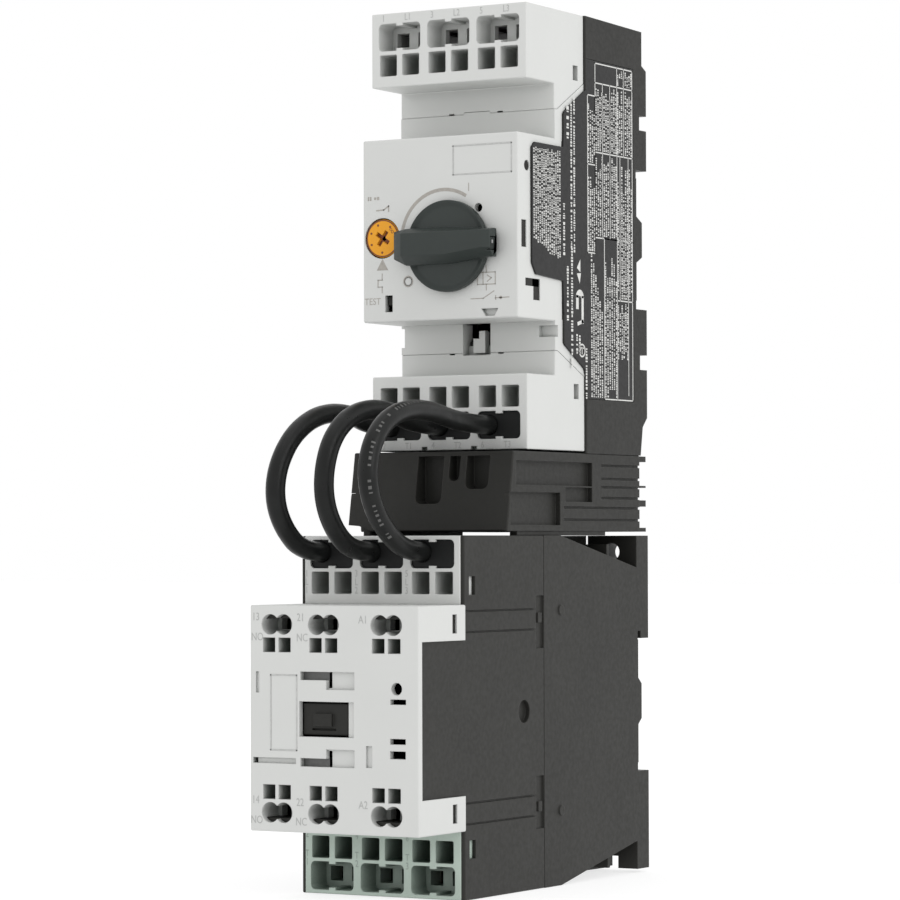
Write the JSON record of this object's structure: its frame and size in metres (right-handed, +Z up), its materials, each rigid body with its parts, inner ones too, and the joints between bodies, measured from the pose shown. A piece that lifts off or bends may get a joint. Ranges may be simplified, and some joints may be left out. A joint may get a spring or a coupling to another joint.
{
  "type": "magnetic motor starter",
  "caption": "DIN-rail motor starter: motor protector with rotary handle, link bracket, black jumper wires and a contactor below, with push-in terminals.",
  "frame": {"origin": "the breaker's DIN-rail seat, at mid width and on the rail's centre line", "axes": "+X right along the rail, +Y back to the panel, +Z up"},
  "size_m": [0.0464, 0.1196, 0.215],
  "materials": {
    "light_grey_plastic": "fine moulded texture",
    "green_grey_plastic": "fine moulded texture",
    "black_plastic": "fine moulded texture",
    "handle_plastic": "satin",
    "orange_plastic": "satin",
    "printed_plate": "printed",
    "marker_plastic": "smooth",
    "wire_insulation": "satin insulation",
    "copper": "stamped strip",
    "winding_copper": "enamelled wire",
    "spring_steel": "stamped",
    "core_steel": "laminated",
    "pad_rubber": "matt"
  },
  "bodies": {
    "housing": {"breaker_front_cover": "light_grey_plastic", "breaker_upper_terminals": "light_grey_plastic", "breaker_lower_terminals": "light_grey_plastic", "contactor_cover": "light_grey_plastic", "contactor_upper_terminals": "light_grey_plastic", "contactor_lower_terminals": "green_grey_plastic", "breaker_base": "black_plastic", "link_bracket": "black_plastic", "contactor_base": "black_plastic", "contactor_body": "black_plastic", "coil_bobbin": "black_plastic", "breaker_plug_left": "black_plastic", "breaker_plug_middle": "black_plastic", "breaker_plug_right": "black_plastic", "contactor_plug_left": "black_plastic", "contactor_plug_middle": "black_plastic", "contactor_plug_right": "black_plastic", "side_plate": "printed_plate", "breaker_marker": "marker_plastic", "contactor_marker": "marker_plastic", "wire_left": "wire_insulation", "wire_middle": "wire_insulation", "wire_right": "wire_insulation", "breaker_line_contacts": "copper", "breaker_load_contacts": "copper", "contactor_line_contacts": "copper", "contactor_load_contacts": "copper", "aux_contacts": "copper", "coil_winding": "winding_copper", "trip_coils": "winding_copper", "breaker_upper_clamps": "spring_steel", "breaker_lower_clamps": "spring_steel", "contactor_upper_clamps": "spring_steel", "contactor_lower_clamps": "spring_steel", "aux_clamps": "spring_steel", "coil_clamps": "spring_steel", "return_springs": "spring_steel", "bimetal_strips": "spring_steel", "magnet_core": "core_steel", "arc_chutes": "core_steel", "core_pad": "pad_rubber"},
    "handle": {"rotary_handle": "handle_plastic", "handle_shaft": "handle_plastic"},
    "lock": {"handle_lock_slide": "handle_plastic"},
    "dial": {"current_dial": "orange_plastic"},
    "test": {"test_slide": "black_plastic"},
    "trip": {"trip_bar": "black_plastic"},
    "breaker_contact_set": {"breaker_bridges": "copper", "breaker_carrier": "black_plastic"},
    "contactor_moving_set": {"contact_carrier": "black_plastic", "armature": "core_steel", "position_indicator": "black_plastic", "contactor_bridges": "copper", "contact_springs": "spring_steel", "aux_bridges": "copper"},
    "breaker_clip": {"breaker_rail_clip": "black_plastic"},
    "contactor_clip": {"contactor_rail_clip": "black_plastic"}
  },
  "joints": [
    {"name": "handle_turn", "type": "hinge", "parent": "housing", "child": "handle", "pos_m": [0.003, -0.0605, -0.005], "axis": [0, 1, 0], "range_deg": [0, 90]},
    {"name": "lock_pull", "type": "slide", "parent": "handle", "child": "lock", "axis": [1, 0, 0], "range_m": [0, 0.005]},
    {"name": "dial_turn", "type": "hinge", "parent": "housing", "child": "dial", "pos_m": [-0.0164, -0.0605, -0.0022], "axis": [0, 1, 0], "range_deg": [-120, 120]},
    {"name": "test_press", "type": "slide", "parent": "housing", "child": "test", "axis": [0, 0, -1], "range_m": [0, 0.0016], "stiffness_N_per_m": 100, "springref_m": -0.002},
    {"name": "trip_swing", "type": "hinge", "parent": "housing", "child": "trip", "pos_m": [0, -0.036, -0.017], "axis": [1, 0, 0], "range_deg": [0, 8]},
    {"name": "breaker_close", "type": "slide", "parent": "housing", "child": "breaker_contact_set", "axis": [0, 1, 0], "range_m": [0, 0.0041]},
    {"name": "contactor_pull_in", "type": "slide", "parent": "housing", "child": "contactor_moving_set", "axis": [0, 1, 0], "range_m": [0, 0.0045], "stiffness_N_per_m": 400, "springref_m": -0.004, "deforming": ["return_springs"]},
    {"name": "breaker_clip_pull", "type": "slide", "parent": "housing", "child": "breaker_clip", "axis": [0, 0, -1], "range_m": [0, 0.003], "stiffness_N_per_m": 500, "springref_m": -0.002},
    {"name": "contactor_clip_pull", "type": "slide", "parent": "housing", "child": "contactor_clip", "axis": [0, 0, -1], "range_m": [0, 0.003], "stiffness_N_per_m": 500, "springref_m": -0.002}
  ],
  "couplings": [
    {"joint": "breaker_close", "follows": "handle_turn", "m_per_rad": 0.0025465},
    {"joint": "trip_swing", "follows": "test_press", "rad_per_m": 87.266}
  ]
}
